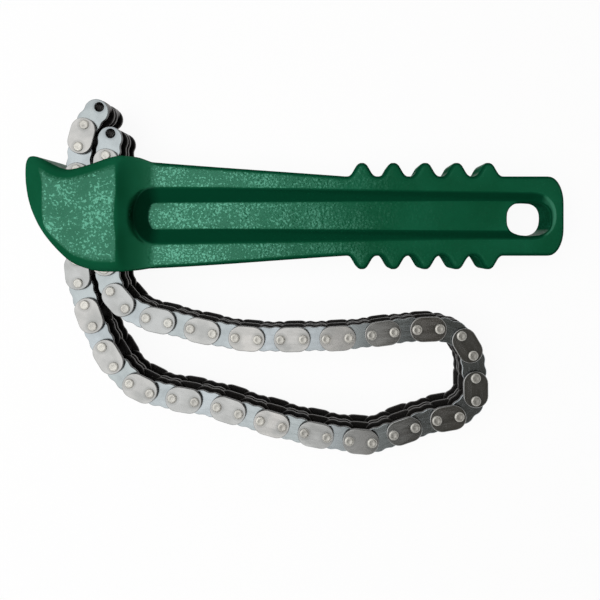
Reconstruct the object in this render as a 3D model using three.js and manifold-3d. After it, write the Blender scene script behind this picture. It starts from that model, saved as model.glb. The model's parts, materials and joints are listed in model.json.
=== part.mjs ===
// Chain filter wrench: a cast handle with a hollow jaw head, and a double-width chain that is pinned inside
// the head, runs out in a loop for the filter and comes back up through the head, where its free end hangs.
// Units are millimetres. +X runs along the handle to the hanging hole, +Y towards the horn's tip and +Z up
// through the thickness. The origin is on the head's rear cheek, the flat face that the tool rests on.
import * as THREE from "three";
import { mergeVertices } from "three/addons/utils/BufferGeometryUtils.js";
import Module from "manifold-3d";

const wasm = await Module();
wasm.setup();

// Chain
const pitch = 9.525;
const pinRadius = 1.8;
const boreClearance = 0.15;
const bushWall = 0.75;
const plateHalf = 5.2;
const plateEnd = 2.9;
const plateEndInset = 2.2;
const innerPlateWaist = 0.8;
const plateThickness = 1.4;
const plateGap = 0.3;
const strandWidth = 5.3;
const middleStack = 4.4;
const rivetRadius = 2.25;
const rivetRise = 0.5;

// Head
const hornReach = 23.6;
const headHalf = 24.85;
const slotSideClearance = 0.6;
const slotFaceClearance = 0.6;
const cheek = 4.6;
const strandGap = 1.4;
const freeStrandX = -1.95;
const hornFlatShare = 0.553;
const hornBulgeShare = 0.35;
const hornTipHalf = 9.5;
const headBevel = 1.5;
const shoulderWall = 1.1;
const shoulderRun = 13.3;

// Handle
const handleReach = 202.8;
const handleThickness = 17.5;
const handleBevel = 1.7;
const neckTop = 23.9;
const neckBottom = 22.8;
const neckTopSag = 0.3;
const neckBottomSag = -0.7;
const gripHalf = 16.85;
const toothCount = 5;
const toothPitch = 13.35;
const toothHeight = 5.7;
const toothFlankShare = 1.35;
const tailRun = 25.3;
const tailCornerX = 6.4;
const tailCornerY = 11.45;

// Groove in each face of the handle, and the hanging hole in its web
const grooveDepth = 3.6;
const grooveFloorHalfNeck = 5.5;
const grooveFloorHalfTail = 6.5;
const grooveRimHalfNeck = 12.3;
const grooveRimHalfTail = 9.9;
const grooveStartX = 20.4;
const grooveStartRun = 8.4;
const grooveFloorCorner = 2.5;
const grooveTailWall = 4;
const grooveEndRun = 9.1;
const holeHalfX = 8.9;
const holeHalfY = 7.2;
const holeInset = 14.4;
const holeDrop = 1.2;
const holeRoundnessShare = 0.72;

// Anchor pin
const anchorDrop = 7.5;
const anchorSeat = 2.8;
const anchorSeatGap = 0.3;

// Loop of the chain as it lies: how far it reaches along X, and how far it drops below the head. The chain has
// at least this many links from the anchor pin to the last pin that the head holds.
const heldLinkCount = 50;
const loopReach = 154.5;
const loopDrop = 72.2;
const cutOverrun = 2;

const edgeSides = 6;
const endSteps = 4;
const toothSteps = 12;
const roundSteps = 10;
const routeSteps = 40;
const splineSteps = 2;

// The head's outline, from the foot of the handle round the belly to the horn's tip, then over the saddle to
// the shoulder, in shares of hornReach and headHalf.
const headOutlineShares = [
  [1.0, -0.925],
  [0.62, -0.94],
  [0.36, -0.935],
  [0.18, -0.9],
  [0, -0.845],
  [-0.18, -0.755],
  [-0.36, -0.6],
  [-0.53, -0.42],
  [-0.69, -0.21],
  [-0.81, 0],
  [-0.9, 0.2],
  [-0.965, 0.43],
  [-1, 0.69],
  [-0.985, 0.87],
  [-0.94, 0.975],
  [-0.88, 1.01],
  [-0.8, 1],
  [-0.64, 0.945],
  [-0.47, 0.86],
  [-0.32, 0.795],
  [-0.2, 0.77],
  [-0.08, 0.785],
  [0.05, 0.82],
  [0.2, 0.86],
  [0.37, 0.92],
  [0.55, 0.975],
  [0.73, 1.005],
  [1.0, 0.995],
];

// The route of the loop, from the pinned strand's mouth out along the upper run, round the far end and back
// to the free strand's mouth, in shares of loopReach to the right and of loopDrop downwards.
const loopRouteShares = [
  [0.008, 0.081],
  [0.04, 0.187],
  [0.09, 0.255],
  [0.161, 0.293],
  [0.26, 0.346],
  [0.377, 0.391],
  [0.537, 0.394],
  [0.652, 0.387],
  [0.778, 0.353],
  [0.885, 0.334],
  [0.945, 0.346],
  [0.988, 0.435],
  [1, 0.57],
  [1.004, 0.72],
  [0.993, 0.82],
  [0.92, 0.85],
  [0.844, 0.9],
  [0.756, 0.965],
  [0.704, 1],
  [0.66, 0.98],
  [0.561, 0.945],
  [0.419, 0.864],
  [0.281, 0.773],
  [0.158, 0.724],
  [0.095, 0.686],
  [0.051, 0.618],
  [0.012, 0.511],
  [-0.021, 0.375],
  [-0.048, 0.228],
  [-0.07, 0.081],
];

// How far each link above the head leans to the right of upright, in degrees: the stub's, and the free end's.
const stubLeanDegrees = [3, 8];
const tailLeanDegrees = [5, 15, 36];

// Sizes that follow from the ones above
const pinHeadroom = boreClearance + pinRadius;
const outerPlateInside = middleStack / 2 + strandWidth + plateThickness + plateGap;
const chainHalf = outerPlateInside + plateThickness + rivetRise;
const pinnedStrandX = freeStrandX + 2 * plateHalf + strandGap;
const slotLeft = freeStrandX - plateHalf - slotSideClearance;
const slotRight = pinnedStrandX + plateHalf + slotSideClearance;
const slotHalf = chainHalf + slotFaceClearance;
const headThickness = 2 * (slotHalf + cheek);
const shoulderX = slotRight + shoulderWall;
const neckStartX = slotRight + shoulderWall / 2;
const headTop = Math.max(...headEdges(pinnedStrandX));
const headBottom = Math.min(...headEdges(pinnedStrandX));
const anchorY = headTop - anchorDrop;
const gripEnd = handleReach - tailRun;
const gripStart = gripEnd - toothCount * toothPitch;
const holeX = handleReach - holeInset;

const castIron = new THREE.MeshStandardMaterial({ color: 0x14613f, roughness: 0.35, metalness: 0.1 });
const plateSteel = new THREE.MeshStandardMaterial({ color: 0xc9c6c1, roughness: 0.35, metalness: 0.9 });
const innerSteel = new THREE.MeshStandardMaterial({ color: 0xa9b6c0, roughness: 0.35, metalness: 0.9 });
const pinSteel = new THREE.MeshStandardMaterial({ color: 0xd8d8d6, roughness: 0.3, metalness: 0.95 });

// The heights at which the head's outline crosses a line along Y.
function headEdges(x) {
  const heights = [];
  for (let k = 0; k + 1 < headOutlineShares.length; k += 1) {
    const [right, up] = headOutlineShares[k];
    const [nextRight, nextUp] = headOutlineShares[k + 1];
    const share = (x / hornReach - right) / (nextRight - right);
    if (share >= 0 && share < 1) heights.push(headHalf * (up + share * (nextUp - up)));
  }
  return heights;
}

function solidOf(geometry) {
  geometry.deleteAttribute("normal");
  geometry.deleteAttribute("uv");
  const merged = mergeVertices(geometry);
  return new wasm.Manifold(
    new wasm.Mesh({
      numProp: 3,
      vertProperties: new Float32Array(merged.attributes.position.array),
      triVerts: new Uint32Array(merged.index.array),
    }),
  );
}

function geometryOf(solid) {
  const mesh = solid.getMesh();
  const geometry = new THREE.BufferGeometry();
  geometry.setAttribute("position", new THREE.BufferAttribute(mesh.vertProperties, 3));
  geometry.setIndex(new THREE.BufferAttribute(mesh.triVerts, 1));
  return geometry;
}

function namedMesh(name, geometry, material) {
  const mesh = new THREE.Mesh(geometry, material);
  mesh.name = name;
  return mesh;
}

// A straight prism of an outline, from one height to another.
function prism(outline, low, high) {
  const geometry = new THREE.ExtrudeGeometry(new THREE.Shape(outline), {
    depth: high - low,
    bevelEnabled: false,
  });
  geometry.translate(0, 0, low);
  return solidOf(geometry);
}

// A slab of an outline, centred on the mid-plane, with its edges rounded inwards.
function slab(outline, thickness, bevel) {
  const geometry = new THREE.ExtrudeGeometry(new THREE.Shape(outline), {
    depth: thickness - 2 * bevel,
    bevelEnabled: true,
    bevelThickness: bevel,
    bevelSize: bevel,
    bevelOffset: -bevel,
    bevelSegments: 2,
  });
  geometry.translate(0, 0, bevel - thickness / 2);
  return solidOf(geometry);
}

// A many-sided bar along Z, centred at x.
function bar(x, radius, low, high) {
  const corners = [];
  for (let side = 0; side < edgeSides; side += 1) {
    const turn = ((side + 0.5) / edgeSides) * 2 * Math.PI;
    corners.push(new THREE.Vector2(x + radius * Math.cos(turn), radius * Math.sin(turn)));
  }
  return prism(corners, low, high);
}

// A closed solid between two outlines with as many points each, at two heights.
function loft(lowOutline, low, highOutline, high) {
  const count = lowOutline.length;
  const positions = [];
  for (const point of lowOutline) positions.push(point.x, point.y, low);
  for (const point of highOutline) positions.push(point.x, point.y, high);
  const index = [];
  for (let k = 0; k < count; k += 1) {
    const next = (k + 1) % count;
    index.push(k, next, count + next, k, count + next, count + k);
  }
  for (const [a, b, c] of THREE.ShapeUtils.triangulateShape(lowOutline, [])) index.push(a, c, b);
  for (const [a, b, c] of THREE.ShapeUtils.triangulateShape(highOutline, [])) {
    index.push(count + a, count + b, count + c);
  }
  const geometry = new THREE.BufferGeometry();
  geometry.setAttribute("position", new THREE.Float32BufferAttribute(positions, 3));
  geometry.setIndex(index);
  return solidOf(geometry);
}

// A link plate lies along X from its first pin to the next, with blunt round ends and a waist between them.
function plateOutline(waist) {
  const points = [];
  for (let step = 0; step <= endSteps; step += 1) {
    const turn = (step / endSteps - 0.5) * Math.PI;
    const reach = (plateEnd + plateEndInset) * Math.cos(turn);
    points.push(new THREE.Vector2(pitch - plateEndInset + reach, plateHalf * Math.sin(turn)));
  }
  points.push(new THREE.Vector2(pitch / 2, plateHalf - waist));
  for (let step = 0; step <= endSteps; step += 1) {
    const turn = (step / endSteps + 0.5) * Math.PI;
    const reach = (plateEnd + plateEndInset) * Math.cos(turn);
    points.push(new THREE.Vector2(plateEndInset + reach, plateHalf * Math.sin(turn)));
  }
  points.push(new THREE.Vector2(pitch / 2, waist - plateHalf));
  return points;
}

const boreRadius = pinHeadroom / Math.cos(Math.PI / edgeSides);
const bushRadius = boreRadius + bushWall;

// The inner link: the plates of both strands on two bushes. The plates that meet in the middle are one stack.
function innerLink() {
  const outline = plateOutline(innerPlateWaist);
  const plateFoot = middleStack / 2 + strandWidth;
  let link = prism(outline, -middleStack / 2, middleStack / 2)
    .add(prism(outline, plateFoot, plateFoot + plateThickness))
    .add(prism(outline, -plateFoot - plateThickness, -plateFoot));
  for (const x of [0, pitch]) {
    link = link.add(bar(x, bushRadius, -plateFoot - plateThickness / 2, plateFoot + plateThickness / 2));
  }
  for (const x of [0, pitch]) {
    link = link.subtract(bar(x, boreRadius, -chainHalf, chainHalf));
  }
  return geometryOf(link);
}

// The outer link: two straight-sided plates and their riveted pins. Where an end has no pin of its own, it is
// bored.
function outerLink(pinned) {
  const outline = plateOutline(0);
  let link = prism(outline, outerPlateInside, outerPlateInside + plateThickness)
    .add(prism(outline, -outerPlateInside - plateThickness, -outerPlateInside));
  const face = outerPlateInside + plateThickness;
  [0, pitch].forEach((x, end) => {
    if (pinned[end]) {
      link = link
        .add(bar(x, pinRadius, -face, face))
        .add(bar(x, rivetRadius, face - rivetRise, chainHalf))
        .add(bar(x, rivetRadius, -chainHalf, rivetRise - face));
    } else {
      link = link.subtract(bar(x, boreRadius, -chainHalf, chainHalf));
    }
  });
  return geometryOf(link);
}

function headOutline() {
  const corners = headOutlineShares.map(([x, y]) => new THREE.Vector2(x * hornReach, y * headHalf));
  const points = new THREE.SplineCurve(corners).getPoints(splineSteps * (corners.length - 1));
  const blockEnd = shoulderX + shoulderRun + headBevel + cutOverrun;
  points.push(new THREE.Vector2(blockEnd, neckHeight(neckTop, neckTopSag, blockEnd) - handleBevel));
  points.push(new THREE.Vector2(blockEnd, handleBevel - neckHeight(neckBottom, neckBottomSag, blockEnd)));
  return points;
}

// The head's thickness along X, seen from below: the horn thins towards its tip from a crease across the face,
// and the shoulder sweeps down to the handle's face in a hollow curve.
function headProfile() {
  const half = headThickness / 2;
  const handleHalf = handleThickness / 2;
  const side = [];
  const hornX = -hornReach - cutOverrun;
  const flatX = -hornReach * hornFlatShare;
  for (let step = 0; step <= endSteps; step += 1) {
    const share = step / endSteps;
    const rise = share * (1 + hornBulgeShare * (1 - share));
    side.push(new THREE.Vector2(hornX + share * (flatX - hornX), hornTipHalf + rise * (half - hornTipHalf)));
  }
  for (let step = 0; step <= roundSteps; step += 1) {
    const share = step / roundSteps;
    const fall = share * (2 - share);
    side.push(new THREE.Vector2(shoulderX + shoulderRun * share, half - fall * (half - handleHalf)));
  }
  side.push(new THREE.Vector2(shoulderX + shoulderRun + cutOverrun, handleHalf - handleBevel));
  const mirrored = side.map((point) => new THREE.Vector2(point.x, -point.y)).reverse();
  const geometry = new THREE.ExtrudeGeometry(new THREE.Shape([...mirrored, ...side].reverse()), {
    depth: 4 * headHalf,
    bevelEnabled: false,
  });
  geometry.rotateX(Math.PI / 2);
  geometry.translate(0, 2 * headHalf, 0);
  return solidOf(geometry);
}

// How far the neck's edge stands from the middle line: it closes in on the grip, sagging above and bulging below.
function neckHeight(neckHalf, sag, x) {
  const share = (x - neckStartX) / (gripStart - neckStartX);
  const straight = neckHalf + (gripHalf - neckHalf) * share;
  return straight - sag * Math.sin(Math.PI * share) * (1 - share);
}

// One long edge of the handle, from the neck to the tail's end, as heights above the middle line. The teeth are
// waves cut level at the tips and in the valleys.
function handleEdge(neckHalf, sag) {
  const edge = [];
  for (let step = 0; step < roundSteps; step += 1) {
    const x = neckStartX + ((gripStart - neckStartX) * step) / roundSteps;
    edge.push(new THREE.Vector2(x, neckHeight(neckHalf, sag, x)));
  }
  for (let step = 0; step <= toothCount * toothSteps; step += 1) {
    const turn = (step / toothSteps) * 2 * Math.PI;
    const rise = toothHeight * THREE.MathUtils.clamp((1 - toothFlankShare * Math.cos(turn)) / 2, 0, 1);
    edge.push(new THREE.Vector2(gripStart + (toothPitch * step) / toothSteps, gripHalf + rise));
  }
  for (let step = 0; step <= roundSteps; step += 1) {
    const turn = ((step / roundSteps) * Math.PI) / 2;
    edge.push(
      new THREE.Vector2(
        handleReach - tailCornerX * (1 - Math.sin(turn)),
        gripHalf - tailCornerY * (1 - Math.cos(turn)),
      ),
    );
  }
  return edge;
}

function handleOutline() {
  const top = handleEdge(neckTop, neckTopSag);
  const bottom = handleEdge(neckBottom, neckBottomSag).map((point) => new THREE.Vector2(point.x, -point.y));
  return [...bottom, ...top.reverse()];
}

// The groove's outline: an oval end at the neck, straight sides that close in a little, an oval end at the tail.
function grooveOutline(startX, startRun, neckHalf, tailHalf, endX, endRun) {
  const points = [];
  for (let step = 0; step <= roundSteps; step += 1) {
    const turn = (step / roundSteps + 0.5) * Math.PI;
    points.push(new THREE.Vector2(startX + startRun * (1 + Math.cos(turn)), neckHalf * Math.sin(turn)));
  }
  for (let step = 0; step <= roundSteps; step += 1) {
    const turn = (step / roundSteps - 0.5) * Math.PI;
    points.push(new THREE.Vector2(endX - endRun * (1 - Math.cos(turn)), tailHalf * Math.sin(turn)));
  }
  return points;
}

function grooveCutter() {
  const rimEnd = handleReach - grooveTailWall;
  const wallRun = grooveRimHalfTail - grooveFloorHalfTail;
  const rim = grooveOutline(
    grooveStartX,
    grooveStartRun,
    grooveRimHalfNeck,
    grooveRimHalfTail,
    rimEnd,
    grooveEndRun,
  );
  const floor = grooveOutline(
    grooveStartX + grooveStartRun - grooveFloorCorner,
    grooveFloorCorner,
    grooveFloorHalfNeck,
    grooveFloorHalfTail,
    rimEnd - wallRun,
    grooveEndRun - wallRun,
  );
  const face = handleThickness / 2;
  return loft(floor, face - grooveDepth, rim, face).add(prism(rim, face, headThickness / 2));
}

// The hanging hole is a rounded square, a little below the middle line.
function holeOutline() {
  const points = [];
  const steps = 2 * roundSteps;
  for (let step = 0; step < steps; step += 1) {
    const turn = (step / steps) * 2 * Math.PI;
    const across = Math.sign(Math.cos(turn)) * Math.abs(Math.cos(turn)) ** holeRoundnessShare;
    const along = Math.sign(Math.sin(turn)) * Math.abs(Math.sin(turn)) ** holeRoundnessShare;
    points.push(new THREE.Vector2(holeX + holeHalfX * across, holeHalfY * along - holeDrop));
  }
  return points;
}

function rectangle(left, right, bottom, top) {
  return [
    new THREE.Vector2(left, bottom),
    new THREE.Vector2(right, bottom),
    new THREE.Vector2(right, top),
    new THREE.Vector2(left, top),
  ];
}

function handleCasting() {
  const head = slab(headOutline(), headThickness, headBevel).intersect(headProfile());
  const handle = slab(handleOutline(), handleThickness, handleBevel);
  const slot = rectangle(slotLeft, slotRight, -2 * headHalf, 2 * headHalf);
  const groove = grooveCutter();
  const reach = headThickness / 2;
  const anchorBore = bar(0, pinRadius + anchorSeatGap, -reach - cutOverrun, slotHalf + anchorSeat + anchorSeatGap);
  return geometryOf(
    head
      .add(handle)
      .subtract(prism(slot, -slotHalf, slotHalf))
      .subtract(groove)
      .subtract(groove.mirror([0, 0, 1]))
      .subtract(prism(holeOutline(), -handleThickness, handleThickness))
      .subtract(anchorBore.translate([pinnedStrandX, anchorY, 0])),
  );
}

// The anchor pin enters from the rear cheek, carries the chain across the slot and ends blind in the front one.
function anchorPin() {
  return geometryOf(bar(0, pinRadius, anchorSeatGap - headThickness / 2, slotHalf + anchorSeat));
}

// The middle line of the chain, as a dense list of points from the anchor pin to well above the head.
function chainRoute() {
  const points = [new THREE.Vector3(pinnedStrandX, anchorY, 0)];
  points.push(new THREE.Vector3(pinnedStrandX, (anchorY + headBottom) / 2, 0));
  points.push(new THREE.Vector3(pinnedStrandX, headBottom, 0));
  for (const [right, down] of loopRouteShares) {
    points.push(new THREE.Vector3(pinnedStrandX + right * loopReach, headBottom - down * loopDrop, 0));
  }
  points.push(new THREE.Vector3(freeStrandX, headBottom, 0));
  points.push(new THREE.Vector3(freeStrandX, 0, 0));
  points.push(new THREE.Vector3(freeStrandX, headTop, 0));
  points.push(new THREE.Vector3(freeStrandX, headTop + loopReach, 0));
  return new THREE.CatmullRomCurve3(points, false, "centripetal").getSpacedPoints(routeSteps * points.length);
}

// Pins stand on the route, each exactly one pitch from the last, up to the last one inside the head. Round a
// smaller loop, the links that are left over stand above the head.
function pinsAlong(route) {
  const pins = [route[0]];
  let last = route[0];
  for (let k = 1; k < route.length; k += 1) {
    const far = route[k].distanceTo(last);
    if (far < pitch) continue;
    const near = route[k - 1].distanceTo(last);
    const share = (pitch - near) / (far - near);
    last = new THREE.Vector3().lerpVectors(route[k - 1], route[k], share);
    if (pins.length > heldLinkCount && last.y > headTop) break;
    pins.push(last);
  }
  return pins;
}

// The pins of links that go up from a first pin, each leaning by its own angle.
function leaningPins(first, leanDegrees) {
  const pins = [first];
  for (const lean of leanDegrees) {
    const turn = THREE.MathUtils.degToRad(lean);
    const step = new THREE.Vector3(pitch * Math.sin(turn), pitch * Math.cos(turn), 0);
    pins.push(pins[pins.length - 1].clone().add(step));
  }
  return pins;
}

function place(link, from, to) {
  link.position.copy(from);
  link.rotation.z = Math.atan2(to.y - from.y, to.x - from.x);
  return link;
}

const wrench = new THREE.Group();
const tool = new THREE.Group();
tool.position.z = headThickness / 2;
wrench.add(tool);
tool.add(namedMesh("handle_casting", handleCasting(), castIron));

const anchor = namedMesh("anchor_pin", anchorPin(), pinSteel);
anchor.position.set(pinnedStrandX, anchorY, 0);
tool.add(anchor);

const innerShape = innerLink();
const outerShape = outerLink([true, true]);
const anchorShape = outerLink([false, true]);

// The stub above the anchor pin: a bored outer link, then the chain's first link with an open bore.
const stubPins = leaningPins(anchor.position, stubLeanDegrees);
tool.add(place(namedMesh("stub_outer_link", anchorShape, plateSteel), stubPins[0], stubPins[1]));
tool.add(place(namedMesh("stub_end_link", innerShape, innerSteel), stubPins[1], stubPins[2]));

// The loop and the free strand, from the anchor pin on. Inner and outer links take turns.
const loopPins = pinsAlong(chainRoute());
const tailPins = leaningPins(loopPins[loopPins.length - 1], tailLeanDegrees);
const pins = [...loopPins, ...tailPins.slice(1)];
for (let k = 0; k + 1 < pins.length; k += 1) {
  const inner = k % 2 === 0;
  const name = `link_${String(k + 1).padStart(2, "0")}_${inner ? "inner" : "outer"}`;
  const link = namedMesh(name, inner ? innerShape : outerShape, inner ? innerSteel : plateSteel);
  tool.add(place(link, pins[k], pins[k + 1]));
}

export default wrench;
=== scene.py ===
"""Chain filter wrench: a cast, enamelled handle and a double-width roller chain, in a pale studio.

Sizes of the pieces are in millimetres and are scaled to metres once, where a mesh is made.
"""

import json
import math
from types import SimpleNamespace

import bmesh
import bpy
from mathutils import Matrix, Vector
from mathutils.kdtree import KDTree

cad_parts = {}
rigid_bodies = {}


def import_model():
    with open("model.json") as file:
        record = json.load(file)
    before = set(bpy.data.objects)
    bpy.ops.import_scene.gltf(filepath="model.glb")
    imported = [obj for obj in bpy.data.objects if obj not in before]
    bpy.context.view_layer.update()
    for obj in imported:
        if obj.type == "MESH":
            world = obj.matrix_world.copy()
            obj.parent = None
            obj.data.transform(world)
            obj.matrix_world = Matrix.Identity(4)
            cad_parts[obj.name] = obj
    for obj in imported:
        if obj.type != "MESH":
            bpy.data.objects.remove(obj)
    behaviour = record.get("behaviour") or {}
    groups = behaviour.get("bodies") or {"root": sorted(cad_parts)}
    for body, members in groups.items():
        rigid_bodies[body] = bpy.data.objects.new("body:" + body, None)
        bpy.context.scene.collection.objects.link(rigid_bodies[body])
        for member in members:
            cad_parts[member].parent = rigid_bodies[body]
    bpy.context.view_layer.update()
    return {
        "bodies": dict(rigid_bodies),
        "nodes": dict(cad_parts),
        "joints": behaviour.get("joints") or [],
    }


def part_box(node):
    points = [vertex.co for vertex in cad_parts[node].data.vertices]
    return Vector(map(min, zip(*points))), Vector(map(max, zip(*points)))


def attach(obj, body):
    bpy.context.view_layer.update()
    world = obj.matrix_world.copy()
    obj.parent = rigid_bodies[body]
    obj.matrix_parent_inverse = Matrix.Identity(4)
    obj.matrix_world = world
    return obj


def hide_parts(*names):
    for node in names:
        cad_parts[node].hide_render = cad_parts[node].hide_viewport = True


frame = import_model()
scene = bpy.context.scene
scene.view_settings.view_transform = "Standard"

MM = 0.001

# Camera: straight above a point of the handle, with the view shifted to the photograph's framing
CAMERA_PLACE = (0.1039, -0.01014, 0.2678)
CAMERA_LENS = 34.66
CAMERA_SHIFT = (-0.05, -0.1)
CAMERA_NEAR = 0.01

# Studio, in metres: the cove's floor, its bend and its wall
COVE_PLACE = (0.1, 0, -0.0002)
COVE_CENTRE, COVE_REACH, COVE_BEND, COVE_HEIGHT = 0.5, 3.0, 0.7, 2.6
COVE_STEPS, COVE_SIDES = 12, 96
COVE_DOWNWARD = -0.5
PAPER_TONES = ((0.9, 0.9, 0.9, 1), (0.93, 0.93, 0.93, 1))
PAPER_GRAIN = 60.0
PAPER_ROUGH = 0.9
PAPER_GLOSS = 0.1
PAPER_WHITE = 0.93
# Each lamp's name, width, depth, brightness, place and the point that it faces
SOFTBOX = ("softbox", 0.99, 0.8, 1.55, (-0.405, -0.03, 0.62), (-0.405, -0.03, 0))
SOFTBOX_EDGE = ("softbox_edge", 0.07, 0.8, 0.8, (0.125, -0.03, 0.62), (0.125, -0.03, 0))
FILL = ("fill", 0.8, 0.8, 2.5, (-0.12, -0.03, 1.0), (0.09, -0.03, 0.02))
ROOM_COLOUR = (0.1, 0.094, 0.082, 1)

# Chain, in millimetres; plates are given by their lower and upper face, from the chain's middle
PITCH = 9.525
PLATE_HALF = 5.2
PLATE_END = 2.9
PLATE_INSET = 2.2
PLATE_EDGE = 0.28
PLATE_EDGE_STEPS = 2
END_STEPS = 14
OUTER_PLATES = ((9.2, 10.6), (-10.6, -9.2))
LOOSE_PLATE = (-0.6, 0.6)
INNER_PLATES = ((7.5, 8.9), (0.8, 2.2), (-2.2, -0.8), (-8.9, -7.5))
INNER_WAIST = 0.45
WAIST_STEPS = 8
STRANDS = ((2.35, 7.35), (-7.35, -2.35))
PIN_RADIUS = 1.75
PIN_EDGE = 0.3
BORE_RADIUS = 1.95
ROLLER_RADIUS = 3.05
ROLLER_EDGE = 0.3
ROUND_SIDES = 28

# Rivet heads, in millimetres: how far each step stands in from the rim, and how far it lies above the
# foot or below the top
RIVET_RADIUS = 2.08
RIVET_FOOT = 10.6
RIVET_TOP = 11.1
RIVET_SINK = 0.05
RIVET_FLANK = ((0.08, -0.02), (0.0, 0.12), (0.12, 0.3))
RIVET_CROWN = ((0.5, 0.04), (0.95, 0.0), (1.3, 0.09))
RIVET_DIMPLE = 0.12

# Faces of a chain mesh, by how far their normal stands upright: outward faces, rims and level faces
OUTWARD_FACE = 0.5
RIM_FACE = 0.8
LEVEL_FACE = 0.9995
SHARP_DEGREES = 40
JOIN_GAP = 0.0005

# Casting, in millimetres: its hollow, the room round the hollow's walls that counts as wall, and how far
# the head reaches
CAST_VOXEL = 0.55
SLOT_LEFT, SLOT_RIGHT, SLOT_HALF = -7.75, 15.65, 11.7
SLOT_ROOM = 0.5
HOLLOW_ROOM = 0.4
HORN_ROOM = 1.0
HEAD_HALF = 16.3
HEAD_RIGHT = 34

# Rims of the head, in millimetres: how wide they are melted at the horn, under the belly and round the
# saddle, and how deep
RIM_STEEP = 0.35
RIM_HORN, RIM_BELLY, RIM_SADDLE = 3.6, 8.2, 7.2
RIM_HORN_X, RIM_BELLY_X = -12, 6
RIM_LOW_Y, RIM_HIGH_Y = -5, 10
RIM_REACH = 10.0
RIM_DROP = 3.9
RIM_SMOOTH_PASSES = 45
CAST_SMOOTH_PASSES = 7
SMOOTH_FACTOR = 0.5
ANCHOR_CLEAR = 4

# Crease between the head's face and the shoulder, in millimetres
CREASE_X = 16.75
CREASE_HALF = 2
CREASE_FADE = 3
CREASE_RUN = 4
CREASE_SHARE = 0.5

# Enamel: its greens, from the brightest, a painted highlight, down to the painted shades of the groove's
# walls and of its deepest hollow
GREEN_PAINTED_HIGHLIGHT = (0.016, 0.16, 0.09, 1)
GREEN_LIGHT = (0.0066, 0.096, 0.045, 1)
GREEN_DARK = (0.0042, 0.073, 0.031, 1)
GREEN_WALL_SHADE = (0.0018, 0.047, 0.021, 1)
GREEN_SHADE = (0.0008, 0.021, 0.0095, 1)
GREEN_TINT = (0.36, 1.0, 0.74, 1)
ENAMEL_IOR = 1.92

# Enamel: scale, detail and roughness of its patterns, and what each adds to the skin's height
TONE_NOISE = (45.0, 3.0)
PATCH_NOISE = (85.0, 1.5)
SWELL_NOISE = (130.0, 2.0)
CRINKLE_NOISE = (1250.0, 2.0, 0.55)
FRECKLE_NOISE = (1150.0, 1.0, 0.5)
CELL_SCALE, CELL_SMOOTH = 820.0, 0.6
CRINKLE_HEIGHT, CELL_HEIGHT, SWELL_HEIGHT = 0.8, 0.9, 1.8
SKIN_HEIGHT = 0.28
PATCH_FRECKLES = 0.45
FRECKLE_RAMP = (0.775, 0.85)
MIDDLE_RAMP = (0.3, 0.7)

# Enamel: an effect's ramp runs from a measure where there is none of it to one where there is all of it.
# These go by how level the surface lies, from 0 on upright walls to 1 on flats,
FLAT = (0.945, 0.99)
UPRIGHT = (0.35, 0.15)
OFF_LEVEL = (0.98, 0.93)
OFF_UPRIGHT = (0.3, 0.5)
START_LEAN = (0.985, 0.955)
SHOULDER_LEAN = (0.5, 0.7)
END_LEAN = (0.6, 0.75)
# these by how far it faces along the handle or across it,
END_FACING = (-0.1, -0.25)
SADDLE_FACING = (0.5, 0.8)
# and these, in millimetres, by the place along the handle or the height from its middle plane
COARSE_SPAN = (135, 60)
RUBBED_SPAN = (55, 130)
SHOULDER_SPAN = (19, 28)
SHOULDER_END = (33, 29)
LAND_SPAN = (31, 28)
END_SPAN = (193.5, 195.5)
START_SPAN = (32, 27)
ABOVE_FLOOR = (8.3, 8.6)
BELOW_HEAD = (10, 9.5)
BELOW_LANDS = (8.9, 8.1)

# Groove's round wall at its start: an ellipse, in millimetres, and the ramp over its rim
START_LEFT, START_X, START_Y, START_HALF = 20.2, 31.0, 0.4, 12.4
START_RIM = (1.0, 0.88)

# Enamel: how strong its effects are
FINE_SKIN, COARSE_SKIN = 0.3, 1.0
SMOOTH_PATCH, ROUGH_PATCH = 0.4, 1.0
PATCH_SKIN_RAMP = (0.38, 0.62)
PATCH_GLOSS_RAMP = (0.35, 0.65)
PATCH_GLOSS = (0.3, 0.42)
FRECKLE_GLOSS = 0.75
RUBBED_GLOSS = 0.12
END_GLOSS = 0.4
SHOULDER_GLOSS = 0.2
SHOULDER_FLAT_SHARE = 0.35
SADDLE_GLOSS = 0.025
UPRIGHT_PAINTED_HIGHLIGHT = 0.45
ENAMEL_ROUGH = (0.16, 0.28)
STEEP_ROUGH = 0.25

# Steel: its wear and the painted shade round its rivets, with lengths in millimetres
SCRATCH_SCALE = 900.0
SCRATCH_STRETCH = (0.12, 1.0, 1.0)
SCRATCH_DEPTH = 0.03
SCRATCH_STRENGTH = 0.5
STAIN_SCALE = 160.0
STAIN_SPREAD = 40.0
STAIN_RAMP = (0.4, 0.7)
STAIN_SHARE = 0.8
WEAR_DETAIL = 4.0
RING_RADIUS = 2.5
RING_WIDTH = 0.7
SCRATCH_SMOOTHER, SCRATCH_ROUGHER = 0.05, 0.08
OIL_BROWN = (1.1, 0.95, 0.75)
OIL_AND_SHADE_BLUE = 1.1
OIL_GLOSS = 0.3

# Sockets of a colour mix
MIX_SHARE, MIX_FIRST, MIX_SECOND, MIX_RESULT = 0, 6, 7, 2


def rise(value, start, end):
    """How far a value has come from start to end, held between 0 and 1."""
    return min(1.0, max(0.0, (value - start) / (end - start)))


def new_object(name, mesh):
    piece = bpy.data.objects.new(name, mesh)
    scene.collection.objects.link(piece)
    return piece


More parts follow.
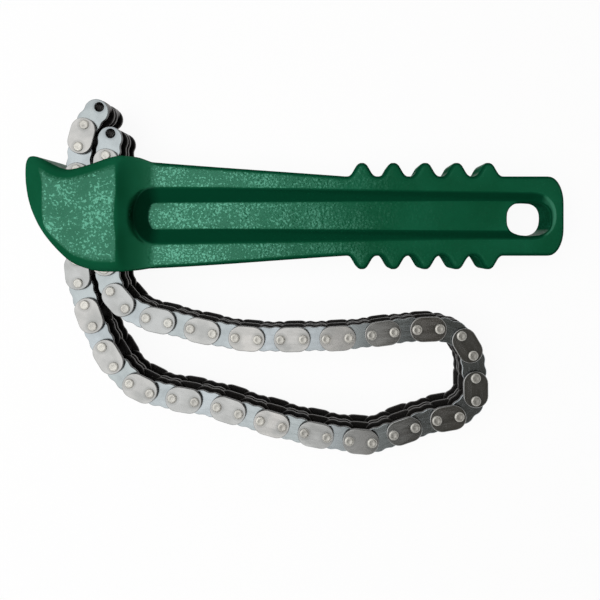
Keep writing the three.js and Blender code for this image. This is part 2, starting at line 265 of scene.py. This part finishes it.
class Nodes:
    """A short way to add and join shader nodes in one tree."""

    def __init__(self, tree):
        self.tree = tree

    def add(self, kind, **settings):
        node = self.tree.nodes.new(kind)
        for key, value in settings.items():
            setattr(node, key, value)
        return node

    def join(self, source, target):
        self.tree.links.new(source, target)

    def put(self, value, socket):
        if isinstance(value, bpy.types.NodeSocket):
            self.join(value, socket)
        else:
            socket.default_value = value

    def math(self, operation, first, second=0.0, clamp=False):
        node = self.add("ShaderNodeMath", operation=operation, use_clamp=clamp)
        self.put(first, node.inputs[0])
        self.put(second, node.inputs[1])
        return node.outputs[0]

    def product(self, first, *others):
        for other in others:
            first = self.math("MULTIPLY", first, other)
        return first

    def total(self, first, *others):
        for other in others:
            first = self.math("ADD", first, other)
        return first

    def ramp(self, value, ends, low=0.0, high=1.0, unit=1.0):
        """Low where the value is at the first of the two ends, high where it is at the second."""
        node = self.add("ShaderNodeMapRange", clamp=True)
        for socket, number in zip(node.inputs[1:5], (ends[0] * unit, ends[1] * unit, low, high)):
            self.put(number, socket)
        self.put(value, node.inputs[0])
        return node.outputs[0]

    def mix(self, share, first, second):
        node = self.add("ShaderNodeMix", data_type="RGBA")
        self.put(share, node.inputs[MIX_SHARE])
        self.put(first, node.inputs[MIX_FIRST])
        self.put(second, node.inputs[MIX_SECOND])
        return node.outputs[MIX_RESULT]

    def parts(self, vector):
        """The three components of a vector."""
        node = self.add("ShaderNodeSeparateXYZ")
        self.join(vector, node.inputs[0])
        return tuple(node.outputs)

    def noise(self, where, scale, detail=3.0, roughness=0.5):
        node = self.add("ShaderNodeTexNoise")
        self.put(where, node.inputs["Vector"])
        self.put(scale, node.inputs["Scale"])
        self.put(detail, node.inputs["Detail"])
        self.put(roughness, node.inputs["Roughness"])
        return node.outputs["Fac"]

    def bump(self, height, depth, strength):
        """A bumpy normal, its depth in millimetres."""
        node = self.add("ShaderNodeBump")
        self.put(height, node.inputs["Height"])
        self.put(strength, node.inputs["Strength"])
        self.put(depth * MM, node.inputs["Distance"])
        return node.outputs["Normal"]


def new_material(name):
    material = bpy.data.materials.new(name)
    material.use_nodes = True
    shader = material.node_tree.nodes["Principled BSDF"]
    return material, Nodes(material.node_tree), shader


def casting_masks(nodes):
    """Where a point of the casting lies, how its surface leans, and the enamel's patterns there."""
    spots = nodes.add("ShaderNodeTexCoord")
    place = spots.outputs["Object"]
    along, across, height = nodes.parts(place)
    facing_x, facing_y, facing_z = nodes.parts(spots.outputs["Normal"])
    level = nodes.math("ABSOLUTE", facing_z)
    patches = nodes.noise(place, *PATCH_NOISE)
    sprinkle = nodes.total(
        nodes.noise(place, *FRECKLE_NOISE),
        nodes.product(patches, PATCH_FRECKLES),
    )
    # the groove's far end, where its wall catches the light
    groove_end = nodes.product(
        nodes.ramp(facing_x, END_FACING),
        nodes.ramp(level, END_LEAN),
        nodes.ramp(along, END_SPAN, unit=MM),
    )
    return SimpleNamespace(
        place=place,
        along=along,
        across=across,
        high=nodes.math("ABSOLUTE", nodes.math("SUBTRACT", height, HEAD_HALF * MM)),
        facing_y=facing_y,
        level=level,
        flat=nodes.ramp(level, FLAT),
        upright=nodes.ramp(level, UPRIGHT),
        groove_end=groove_end,
        patches=patches,
        crinkle=nodes.noise(place, *CRINKLE_NOISE),
        freckles=nodes.ramp(sprinkle, FRECKLE_RAMP),
    )


def enamel_skin(nodes, masks):
    """The hammered skin's normal: on flats and upright sides, coarser in some patches and at the head."""
    cells = nodes.add("ShaderNodeTexVoronoi", feature="SMOOTH_F1")
    nodes.put(masks.place, cells.inputs["Vector"])
    nodes.put(CELL_SCALE, cells.inputs["Scale"])
    nodes.put(CELL_SMOOTH, cells.inputs["Smoothness"])
    height = nodes.total(
        nodes.product(masks.crinkle, CRINKLE_HEIGHT),
        nodes.product(cells.outputs["Distance"], CELL_HEIGHT),
        nodes.product(nodes.noise(masks.place, *SWELL_NOISE), SWELL_HEIGHT),
    )
    strength = nodes.product(
        nodes.ramp(masks.patches, PATCH_SKIN_RAMP, SMOOTH_PATCH, ROUGH_PATCH),
        nodes.ramp(masks.along, COARSE_SPAN, FINE_SKIN, COARSE_SKIN, unit=MM),
        nodes.math("MAXIMUM", masks.flat, masks.upright),
    )
    return nodes.bump(height, SKIN_HEIGHT, strength)


def enamel_colour(nodes, masks):
    """Green with painted shade: darker on the groove's walls and darkest on the round one at its start."""
    tone = nodes.noise(masks.place, *TONE_NOISE)
    colour = nodes.mix(nodes.ramp(tone, MIDDLE_RAMP), GREEN_DARK, GREEN_LIGHT)
    # painted shade: the groove's sloping walls are darkened, though not its far end
    wall_shade = nodes.product(
        nodes.ramp(masks.high, BELOW_LANDS, unit=MM),
        nodes.ramp(masks.level, OFF_LEVEL),
        nodes.ramp(masks.level, OFF_UPRIGHT),
    )
    wall_shade = nodes.math("SUBTRACT", wall_shade, masks.groove_end, clamp=True)
    colour = nodes.mix(wall_shade, colour, GREEN_WALL_SHADE)
    # painted shade, darkest, on the round wall at the groove's start
    across = nodes.math("SUBTRACT", masks.across, START_Y * MM)
    across = nodes.math("DIVIDE", across, START_HALF * MM)
    inward = nodes.math("SUBTRACT", masks.along, START_X * MM)
    inward = nodes.math("DIVIDE", inward, (START_X - START_LEFT) * MM)
    far = nodes.total(nodes.math("POWER", across, 2.0), nodes.math("POWER", inward, 2.0))
    start = nodes.product(
        nodes.ramp(far, START_RIM),
        nodes.ramp(masks.level, START_LEAN),
        nodes.ramp(masks.along, START_SPAN, unit=MM),
    )
    colour = nodes.mix(start, colour, GREEN_SHADE)
    # on the upright sides the freckles only show as a paler green: a painted highlight
    painted_highlight = nodes.product(masks.freckles, masks.upright, UPRIGHT_PAINTED_HIGHLIGHT)
    return nodes.mix(painted_highlight, colour, GREEN_PAINTED_HIGHLIGHT)


def enamel_gloss(nodes, masks):
    """Gloss of the flats, with brighter freckles, rubbed dull along the grip. Steep walls have little or
    none."""
    gloss = nodes.total(
        nodes.ramp(masks.patches, PATCH_GLOSS_RAMP, *PATCH_GLOSS),
        nodes.product(masks.freckles, FRECKLE_GLOSS),
    )
    gloss = nodes.product(gloss, nodes.ramp(masks.along, RUBBED_SPAN, 1.0, RUBBED_GLOSS, unit=MM))
    # the lands are as plain as the shoulder where they leave it
    above_floor = nodes.ramp(masks.high, ABOVE_FLOOR, unit=MM)
    plain = nodes.product(
        above_floor,
        nodes.ramp(masks.high, BELOW_HEAD, unit=MM),
        nodes.ramp(masks.along, LAND_SPAN, unit=MM),
    )
    gloss = nodes.product(gloss, nodes.math("SUBTRACT", masks.flat, plain, clamp=True))
    # the shoulder shines a little towards the lands
    shoulder = nodes.product(
        above_floor,
        nodes.ramp(masks.along, SHOULDER_SPAN, unit=MM),
        nodes.ramp(masks.along, SHOULDER_END, unit=MM),
        nodes.ramp(masks.level, SHOULDER_LEAN),
        nodes.ramp(masks.flat, (0.0, 1.0), 1.0, SHOULDER_FLAT_SHARE),
    )
    # and so do the upright walls on the saddle's side
    saddle_side = nodes.product(nodes.ramp(masks.facing_y, SADDLE_FACING), masks.upright)
    return nodes.total(
        gloss,
        nodes.product(masks.groove_end, END_GLOSS),
        nodes.product(shoulder, SHOULDER_GLOSS),
        nodes.product(saddle_side, SADDLE_GLOSS),
    )


def enamel():
    """Green stoving enamel with a hammered skin and glossy freckles."""
    material, nodes, shader = new_material("green_hammered_enamel")
    masks = casting_masks(nodes)
    nodes.join(enamel_skin(nodes, masks), shader.inputs["Normal"])
    nodes.join(enamel_colour(nodes, masks), shader.inputs["Base Color"])
    nodes.join(enamel_gloss(nodes, masks), shader.inputs["Specular IOR Level"])
    rough = nodes.total(
        nodes.ramp(masks.crinkle, MIDDLE_RAMP, *ENAMEL_ROUGH),
        nodes.ramp(masks.flat, (0.0, 1.0), STEEP_ROUGH, 0.0),
    )
    nodes.join(rough, shader.inputs["Roughness"])
    shader.inputs["IOR"].default_value = ENAMEL_IOR
    shader.inputs["Specular Tint"].default_value = GREEN_TINT
    return material


def steel_wear_group():
    """Rub marks, a dark ring round each rivet, of oil and painted shade, and a slow stain, over a plate that
    lies along X.
    """
    group = bpy.data.node_groups.new("steel_wear", "ShaderNodeTree")
    given_values = (
        ("Scratch Scale", SCRATCH_SCALE),
        ("Ring Radius", RING_RADIUS * MM),
        ("Stain Scale", STAIN_SCALE),
    )
    for name, start in given_values:
        socket = group.interface.new_socket(name, in_out="INPUT", socket_type="NodeSocketFloat")
        socket.default_value = start
    for name in ("Ring", "Stain", "Scratches", "Chance"):
        group.interface.new_socket(name, in_out="OUTPUT", socket_type="NodeSocketFloat")
    nodes = Nodes(group)
    given = nodes.add("NodeGroupInput")
    out = nodes.add("NodeGroupOutput")
    place = nodes.add("ShaderNodeTexCoord").outputs["Object"]
    x, y, _ = nodes.parts(place)

    # the nearer of the two rivets
    half = PITCH / 2 * MM
    along = nodes.math("ABSOLUTE", nodes.math("SUBTRACT", x, half))
    along = nodes.math("SUBTRACT", along, half)
    square = nodes.total(nodes.math("POWER", along, 2.0), nodes.math("POWER", y, 2.0))
    far = nodes.math("SQRT", square)
    edge = nodes.math("ABSOLUTE", nodes.math("SUBTRACT", far, given.outputs["Ring Radius"]))
    nodes.join(nodes.ramp(edge, (0.0, RING_WIDTH), 1.0, 0.0, unit=MM), out.inputs["Ring"])

    stain = nodes.add("ShaderNodeTexNoise", noise_dimensions="4D")
    chance = nodes.add("ShaderNodeObjectInfo").outputs["Random"]
    nodes.put(place, stain.inputs["Vector"])
    nodes.put(given.outputs["Stain Scale"], stain.inputs["Scale"])
    nodes.put(nodes.product(chance, STAIN_SPREAD), stain.inputs["W"])
    nodes.put(WEAR_DETAIL, stain.inputs["Detail"])
    nodes.join(stain.outputs["Fac"], out.inputs["Stain"])
    nodes.join(chance, out.inputs["Chance"])

    stretch = nodes.add("ShaderNodeMapping")
    nodes.put(place, stretch.inputs["Vector"])
    nodes.put(SCRATCH_STRETCH, stretch.inputs["Scale"])
    scratches = nodes.noise(stretch.outputs[0], given.outputs["Scratch Scale"], WEAR_DETAIL)
    nodes.join(scratches, out.inputs["Scratches"])
    return group


def steel(name, tones, oil_and_shade, rough, ring_depth):
    """Bright steel in a tone of its own for each link, stained a little. Oil is the colour of the ring round
    a rivet: oil, with painted shade where the rivet meets the plate."""
    material, nodes, shader = new_material(name)
    marks = nodes.add("ShaderNodeGroup", node_tree=WEAR)
    light, other, dark = tones
    own = nodes.mix(marks.outputs["Chance"], light, other)
    stain = nodes.ramp(marks.outputs["Stain"], STAIN_RAMP, 0.0, STAIN_SHARE)
    colour = nodes.mix(stain, own, dark)
    # the dark ring round each rivet is oil and painted shade
    colour = nodes.mix(nodes.product(marks.outputs["Ring"], ring_depth), colour, oil_and_shade)
    nodes.join(colour, shader.inputs["Base Color"])
    scratches = marks.outputs["Scratches"]
    roughness = nodes.ramp(scratches, MIDDLE_RAMP, rough - SCRATCH_SMOOTHER, rough + SCRATCH_ROUGHER)
    nodes.join(roughness, shader.inputs["Roughness"])
    nodes.join(nodes.bump(scratches, SCRATCH_DEPTH, SCRATCH_STRENGTH), shader.inputs["Normal"])
    shader.inputs["Metallic"].default_value = 1.0
    return material


def oily_shaded_steel(name, base, rough, metal):
    """Black, oily steel between the plates, a little browner where the stain is. It is painted shade too:
    the plates' rims and the faces between them are dark where shade falls between the parts.
    """
    material, nodes, shader = new_material(name)
    marks = nodes.add("ShaderNodeGroup", node_tree=WEAR)
    black = (base, base, base * OIL_AND_SHADE_BLUE, 1)
    brown = tuple(base * share for share in OIL_BROWN) + (1,)
    nodes.join(nodes.mix(marks.outputs["Stain"], black, brown), shader.inputs["Base Color"])
    smoother, rougher = rough - SCRATCH_ROUGHER, rough + SCRATCH_ROUGHER
    roughness = nodes.ramp(marks.outputs["Scratches"], MIDDLE_RAMP, smoother, rougher)
    nodes.join(roughness, shader.inputs["Roughness"])
    shader.inputs["Metallic"].default_value = metal
    shader.inputs["Specular IOR Level"].default_value = OIL_GLOSS
    return material


def white_paper():
    """White in the background of the view, and still a surface that takes the shadow."""
    material, nodes, shader = new_material("studio_paper")
    grain = nodes.noise(nodes.add("ShaderNodeTexCoord").outputs["Object"], PAPER_GRAIN)
    nodes.join(nodes.mix(nodes.ramp(grain, MIDDLE_RAMP), *PAPER_TONES), shader.inputs["Base Color"])
    shader.inputs["Roughness"].default_value = PAPER_ROUGH
    shader.inputs["Specular IOR Level"].default_value = PAPER_GLOSS
    rays = nodes.add("ShaderNodeLightPath")
    seen = nodes.math("ADD", rays.outputs["Is Camera Ray"], rays.outputs["Is Glossy Ray"])
    seen = nodes.math("ADD", seen, rays.outputs["Is Transmission Ray"], clamp=True)
    glow = nodes.add("ShaderNodeEmission")
    glow.inputs["Strength"].default_value = 1.0
    blend = nodes.add("ShaderNodeMixShader")
    nodes.join(nodes.product(seen, PAPER_WHITE), blend.inputs[0])
    nodes.join(shader.outputs[0], blend.inputs[1])
    nodes.join(glow.outputs[0], blend.inputs[2])
    nodes.join(blend.outputs[0], material.node_tree.nodes["Material Output"].inputs["Surface"])
    return material


WEAR = steel_wear_group()
ENAMEL = enamel()
OUTER_STEEL = steel(
    "outer_plate_steel",
    tones=((0.41, 0.4, 0.385, 1), (0.35, 0.36, 0.36, 1), (0.27, 0.275, 0.27, 1)),
    oil_and_shade=(0.12, 0.12, 0.115, 1),
    rough=0.2,
    ring_depth=0.25,
)
INNER_STEEL = steel(
    "inner_plate_steel",
    tones=((0.365, 0.4, 0.425, 1), (0.33, 0.365, 0.37, 1), (0.25, 0.275, 0.285, 1)),
    oil_and_shade=(0.1, 0.11, 0.13, 1),
    rough=0.22,
    ring_depth=0.25,
)
RIVET_STEEL = steel(
    "rivet_steel",
    tones=((0.6, 0.585, 0.54, 1), (0.54, 0.535, 0.5, 1), (0.42, 0.41, 0.385, 1)),
    oil_and_shade=(0.12, 0.12, 0.12, 1),
    rough=0.45,
    ring_depth=0.6,
)
# painted shade: the plates' rims are near black, and the faces between the plates black, with oil
EDGE_STEEL_PAINTED_SHADE = oily_shaded_steel("edge_steel_painted_shade", base=0.05, rough=0.35, metal=1.0)
OILY_STEEL_PAINTED_SHADE = oily_shaded_steel("oily_steel_painted_shade", base=0.012, rough=0.4, metal=0.0)


def plate_outline(waist=0.0):
    """The plate's rim, from its right end round to its left end, in millimetres, waisted between them."""
    points = []
    for end, centre in ((0, PITCH - PLATE_INSET), (1, PLATE_INSET)):
        for step in range(END_STEPS + 1):
            turn = (step / END_STEPS - 0.5 + end) * math.pi
            x = centre + (PLATE_END + PLATE_INSET) * math.cos(turn)
            points.append((x, PLATE_HALF * math.sin(turn)))
        if waist:
            side = 1 - 2 * end
            for step in range(1, WAIST_STEPS):
                share = step / WAIST_STEPS
                dip = waist * (1 - math.cos(2 * math.pi * share)) / 2
                x = centre - side * share * (PITCH - 2 * PLATE_INSET)
                points.append((x, side * (PLATE_HALF - dip)))
    return points


def ring_points(x, radius):
    turns = [2 * math.pi * k / ROUND_SIDES for k in range(ROUND_SIDES)]
    return [(x + radius * math.cos(turn), radius * math.sin(turn)) for turn in turns]


def curve_plate(loops, low, high):
    """A flat plate with rounded rims, of an outline and its holes, as a mesh in millimetres."""
    curve = bpy.data.curves.new("plate_rim", "CURVE")
    curve.dimensions = "2D"
    curve.fill_mode = "BOTH"
    for loop in loops:
        spline = curve.splines.new("POLY")
        spline.points.add(len(loop) - 1)
        for point, (x, y) in zip(spline.points, loop):
            point.co = (x, y, 0, 1)
        spline.use_cyclic_u = True
    curve.extrude = (high - low) / 2 - PLATE_EDGE
    curve.bevel_depth = PLATE_EDGE
    curve.bevel_resolution = PLATE_EDGE_STEPS
    curve.offset = -PLATE_EDGE
    holder = new_object("plate_holder", curve)
    bpy.context.view_layer.update()
    evaluated = holder.evaluated_get(bpy.context.evaluated_depsgraph_get())
    mesh = bpy.data.meshes.new_from_object(evaluated)
    bpy.data.objects.remove(holder)
    mesh.transform(Matrix.Translation((0, 0, (low + high) / 2)))
    return mesh


def lathe(profile, x):
    """A round solid about Z through x, from a profile of (radius, height) pairs that starts and ends at
    radius 0, or that comes back to its first pair where the solid is a sleeve."""
    form = bmesh.new()
    rings = []
    for radius, height in profile:
        if radius == 0:
            rings.append([form.verts.new((x, 0, height))])
        else:
            rings.append([form.verts.new((px, py, height)) for px, py in ring_points(x, radius)])
    closed = profile[0][0] != 0
    pairs = list(zip(rings, rings[1:])) + ([(rings[-1], rings[0])] if closed else [])
    for low, high in pairs:
        for k in range(ROUND_SIDES):
            after = (k + 1) % ROUND_SIDES
            lower = [low[k % len(low)], low[after % len(low)]]
            upper = [high[after % len(high)], high[k % len(high)]]
            form.faces.new(list(dict.fromkeys(lower + upper)))
    bmesh.ops.recalc_face_normals(form, faces=form.faces)
    mesh = bpy.data.meshes.new("turned")
    form.to_mesh(mesh)
    form.free()
    return mesh


def level_faces(mesh):
    """Keeps the plates' level faces level: the edges round them are shaded sharp."""
    form = bmesh.new()
    form.from_mesh(mesh)
    for edge in form.edges:
        level = [abs(face.normal.z) > LEVEL_FACE for face in edge.link_faces]
        if any(level) and not all(level):
            edge.smooth = False
    form.to_mesh(mesh)
    form.free()


def assemble(name, parts, materials):
    """One mesh in metres of several in millimetres. Each part has the slots of its outward face, its rim and
    the rest, and the side (1, -1 or 0 for none) that its outward face looks to."""
    whole = bmesh.new()
    for mesh, (face_slot, rim_slot, rest_slot), side in parts:
        part = bmesh.new()
        part.from_mesh(mesh)
        bmesh.ops.remove_doubles(part, verts=part.verts, dist=JOIN_GAP)
        bmesh.ops.recalc_face_normals(part, faces=part.faces)
        for face in part.faces:
            if face.normal.z * side > OUTWARD_FACE:
                face.material_index = face_slot
            elif abs(face.normal.z) < RIM_FACE:
                face.material_index = rim_slot
            else:
                face.material_index = rest_slot
        part.to_mesh(mesh)
        part.free()
        whole.from_mesh(mesh)
        bpy.data.meshes.remove(mesh)
    bmesh.ops.scale(whole, vec=(MM, MM, MM), verts=whole.verts)
    mesh = bpy.data.meshes.new(name)
    whole.to_mesh(mesh)
    whole.free()
    for material in materials:
        mesh.materials.append(material)
    mesh.shade_smooth()
    mesh.set_sharp_from_angle(angle=math.radians(SHARP_DEGREES))
    level_faces(mesh)
    return mesh


def rivet_profile():
    """A riveted pin, from one peened and dimpled head to the other."""
    upper = [(PIN_RADIUS, RIVET_FOOT - RIVET_SINK)]
    upper += [(RIVET_RADIUS - inset, RIVET_FOOT + above) for inset, above in RIVET_FLANK]
    upper += [(RIVET_RADIUS - inset, RIVET_TOP - below) for inset, below in RIVET_CROWN]
    upper.append((0, RIVET_TOP - RIVET_DIMPLE))
    return [(radius, -height) for radius, height in reversed(upper)] + upper


def roller_profile(low, high):
    return [
        (BORE_RADIUS, low),
        (ROLLER_RADIUS - ROLLER_EDGE, low),
        (ROLLER_RADIUS, low + ROLLER_EDGE),
        (ROLLER_RADIUS, high - ROLLER_EDGE),
        (ROLLER_RADIUS - ROLLER_EDGE, high),
        (BORE_RADIUS, high),
    ]


def outer_link(name, pinned):
    """Two outer plates, the loose plate between the strands, and a riveted pin at each pinned end."""
    ends = list(zip((0, PITCH), pinned))
    holes = [ring_points(x, BORE_RADIUS) for x, has_pin in ends if not has_pin]
    bores = [ring_points(x, BORE_RADIUS) for x in (0, PITCH)]
    parts = []
    for side, (low, high) in zip((1, -1), OUTER_PLATES):
        parts.append((curve_plate([plate_outline()] + holes, low, high), (0, 2, 3), side))
    parts.append((curve_plate([plate_outline()] + bores, *LOOSE_PLATE), (0, 2, 3), 0))
    for x, has_pin in ends:
        if has_pin:
            parts.append((lathe(rivet_profile(), x), (1, 1, 1), 0))
    return assemble(name, parts, (OUTER_STEEL, RIVET_STEEL, EDGE_STEEL_PAINTED_SHADE, OILY_STEEL_PAINTED_SHADE))


def inner_link(name):
    """Four inner plates, two for each strand, and the rollers between them."""
    loops = [plate_outline(INNER_WAIST)] + [ring_points(x, BORE_RADIUS) for x in (0, PITCH)]
    parts = []
    for side, (low, high) in zip((1, 0, 0, -1), INNER_PLATES):
        parts.append((curve_plate(loops, low, high), (0, 1, 2), side))
    for low, high in STRANDS:
        for x in (0, PITCH):
            parts.append((lathe(roller_profile(low, high), x), (1, 1, 2), 0))
    return assemble(name, parts, (INNER_STEEL, EDGE_STEEL_PAINTED_SHADE, OILY_STEEL_PAINTED_SHADE))


def box_middle(node):
    low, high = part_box(node)
    return (low + high) / 2


def place_link(node, mesh, pin):
    """Lays a link over its CAD node: its first pin at pin, its other pin opposite the node's middle."""
    piece = new_object(node + "_steel", mesh)
    middle = box_middle(node)
    heading = math.atan2(middle.y - pin.y, middle.x - pin.x)
    turned = Matrix.Rotation(heading, 4, "Z")
    piece.matrix_world = Matrix.Translation((pin.x, pin.y, middle.z)) @ turned
    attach(piece, node)
    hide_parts(node)


def link_pins():
    """Where each link's first pin stands: the hinge that it turns on."""
    joints = frame["joints"]
    pins = {joint["child"]: Vector(joint["pos_m"]) for joint in joints if joint["type"] == "hinge"}
    # the link that slides in the head has the pin of the link above it
    sliding = next(joint["child"] for joint in joints if joint["type"] == "slide")
    above = next(
        joint["child"]
        for joint in joints
        if joint["parent"] == sliding and joint["child"] > sliding and joint["pos_m"][1] > 0
    )
    pins[sliding] = pins[above]
    return pins


def chain():
    """Every link of the chain, laid over its CAD node."""
    outer = outer_link("outer_link", (True, True))
    anchored = outer_link("anchored_link", (False, True))
    inner = inner_link("inner_link")
    pins = link_pins()
    for node in frame["bodies"]:
        if node == "handle":
            continue
        if node.endswith("_inner") or node == "stub_end_link":
            place_link(node, inner, pins[node])
        else:
            mesh = anchored if node == "stub_outer_link" else outer
            place_link(node, mesh, pins[node])


def anchor_pin():
    low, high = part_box("anchor_pin")
    half = (high.z - low.z) / 2 / MM
    upper = [(PIN_RADIUS, half - PIN_EDGE), (PIN_RADIUS - PIN_EDGE, half), (0, half)]
    profile = [(radius, -height) for radius, height in reversed(upper)] + upper
    turned = lathe(profile, 0)
    mesh = assemble("anchor_pin_steel", [(turned, (0, 0, 0), 0)], (RIVET_STEEL,))
    piece = new_object("anchor_pin_steel", mesh)
    piece.matrix_world = Matrix.Translation(box_middle("anchor_pin"))
    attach(piece, "handle")
    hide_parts("anchor_pin")


def bake(piece):
    """Applies the piece's modifiers."""
    bpy.context.view_layer.update()
    evaluated = piece.evaluated_get(bpy.context.evaluated_depsgraph_get())
    piece.data = bpy.data.meshes.new_from_object(evaluated)
    piece.modifiers.clear()


def rim_width(place):
    """How far the melted rim reaches over the head's face: wide round the saddle and under the belly, narrow
    at the horn's back."""
    under = RIM_HORN + (RIM_BELLY - RIM_HORN) * rise(place.x, RIM_HORN_X, RIM_BELLY_X)
    return under + (RIM_SADDLE - under) * rise(place.y, RIM_LOW_Y, RIM_HIGH_Y)


def rim_tree(spots, middle):
    """The points of the head's upright outer walls, seen from above, to find the nearest one by."""
    bore = box_middle("anchor_pin").to_2d() / MM

    def on_rim(place, normal):
        if abs(normal.z) > RIM_STEEP or place.x > HEAD_RIGHT:
            return False
        if (place.to_2d() - bore).length < ANCHOR_CLEAR:
            return False
        return abs(place.z - middle) > SLOT_HALF + SLOT_ROOM or place.x < SLOT_LEFT - HORN_ROOM

    rim = [place for place, normal in spots if on_rim(place, normal)]
    tree = KDTree(len(rim))
    for number, place in enumerate(rim):
        tree.insert((place.x, place.y, 0), number)
    tree.balance()
    return tree


def melt_rims(skin):
    """Rounds the outer rims of the head's two faces, and returns how much each point may be smoothed after
    it: most on the rims, none in the hollow."""
    middle = box_middle("handle_casting").z / MM
    spots = [(point.co / MM, point.normal.copy()) for point in skin.data.vertices]
    tree = rim_tree(spots, middle)
    weights = []
    for point, (place, _) in zip(skin.data.vertices, spots):
        if place.x > HEAD_RIGHT:
            weights.append(0.0)
            continue
        far = tree.find((place.x, place.y, 0))[2]
        above = abs(place.z - middle) - SLOT_HALF
        width = rim_width(place)
        if above > 0 and far < width:
            fade = rise(place.x, CREASE_X + CREASE_RUN, CREASE_X)
            share = min(1.0, above / (HEAD_HALF - SLOT_HALF))
            drop = RIM_DROP * (1 - math.sqrt(1 - (1 - far / width) ** 2)) * share * fade
            point.co.z -= math.copysign(drop * MM, place.z - middle)
        weight = rise(far, RIM_REACH, RIM_REACH / 2)
        if far > width:
            on_crease = CREASE_SHARE * (abs(place.x - CREASE_X) < CREASE_HALF)
            left = CREASE_X - CREASE_HALF
            weight *= max(on_crease, rise(place.x, left, left - CREASE_FADE))
        beside = SLOT_LEFT - HOLLOW_ROOM < place.x < SLOT_RIGHT + HOLLOW_ROOM
        weights.append(0.0 if beside and above < SLOT_ROOM else weight)
    return weights


def casting():
    """The handle: the CAD solid's surface with its edges melted round, as a sand casting's are."""
    mesh = frame["nodes"]["handle_casting"].data.copy()
    mesh.materials.clear()
    skin = new_object("handle_skin", mesh)
    remesh = skin.modifiers.new("grain", "REMESH")
    remesh.mode = "VOXEL"
    remesh.voxel_size = CAST_VOXEL * MM
    bake(skin)
    rims = skin.vertex_groups.new(name="rims")
    for number, weight in enumerate(melt_rims(skin)):
        if weight > 0:
            rims.add([number], weight, "REPLACE")
    melt = skin.modifiers.new("melt", "SMOOTH")
    melt.factor = SMOOTH_FACTOR
    melt.iterations = RIM_SMOOTH_PASSES
    melt.vertex_group = "rims"
    soften = skin.modifiers.new("soften", "SMOOTH")
    soften.factor = SMOOTH_FACTOR
    soften.iterations = CAST_SMOOTH_PASSES
    bake(skin)
    skin.data.shade_smooth()
    skin.data.materials.append(ENAMEL)
    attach(skin, "handle")
    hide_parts("handle_casting")


def area_lamp(name, width, depth, radiance, place, target):
    """A rectangular lamp of an even brightness, turned to face a point."""
    light = bpy.data.lights.new(name, "AREA")
    light.shape = "RECTANGLE"
    light.size = width
    light.size_y = depth
    light.energy = radiance * math.pi * width * depth
    lamp = new_object(name, light)
    lamp.location = place
    lamp.rotation_euler = (Vector(target) - Vector(place)).to_track_quat("-Z", "Y").to_euler()
    return lamp


def white_cove():
    """The studio's floor, which curves up into a round wall: a disc, the bend and the wall, as rings."""
    inside = COVE_REACH - COVE_BEND
    rings = [(COVE_CENTRE, 0.0), (inside, 0.0)]
    for step in range(1, COVE_STEPS + 1):
        turn = step / COVE_STEPS * math.pi / 2
        rings.append((inside + COVE_BEND * math.sin(turn), COVE_BEND * (1 - math.cos(turn))))
    rings.append((COVE_REACH, COVE_HEIGHT))
    turns = [2 * math.pi * k / COVE_SIDES for k in range(COVE_SIDES)]
    form = bmesh.new()
    rows = []
    for radius, height in rings:
        points = [(radius * math.cos(turn), radius * math.sin(turn), height) for turn in turns]
        rows.append([form.verts.new(point) for point in points])
    form.faces.new(rows[0])
    for low, high in zip(rows, rows[1:]):
        for k in range(COVE_SIDES):
            after = (k + 1) % COVE_SIDES
            form.faces.new([low[k], low[after], high[after], high[k]])
    bmesh.ops.recalc_face_normals(form, faces=form.faces)
    downward = [face for face in form.faces if face.normal.z < COVE_DOWNWARD]
    bmesh.ops.reverse_faces(form, faces=downward)
    mesh = bpy.data.meshes.new("cove")
    form.to_mesh(mesh)
    form.free()
    mesh.shade_smooth()
    mesh.materials.append(white_paper())
    return mesh


def studio():
    camera_data = bpy.data.cameras.new("camera")
    camera = new_object("camera", camera_data)
    camera.location = CAMERA_PLACE
    camera_data.lens = CAMERA_LENS
    camera_data.shift_x, camera_data.shift_y = CAMERA_SHIFT
    camera_data.clip_start = CAMERA_NEAR
    scene.camera = camera

    cove = new_object("cove", white_cove())
    cove.location = COVE_PLACE

    area_lamp(*SOFTBOX)
    area_lamp(*SOFTBOX_EDGE)
    # an even fill from the left that polished faces don't mirror
    fill = area_lamp(*FILL)
    fill.visible_glossy = False

    world = bpy.data.worlds.new("studio_room")
    scene.world = world
    world.use_nodes = True
    background = world.node_tree.nodes["Background"]
    background.inputs["Color"].default_value = ROOM_COLOUR
    background.inputs["Strength"].default_value = 1.0


studio()
casting()
anchor_pin()
chain()
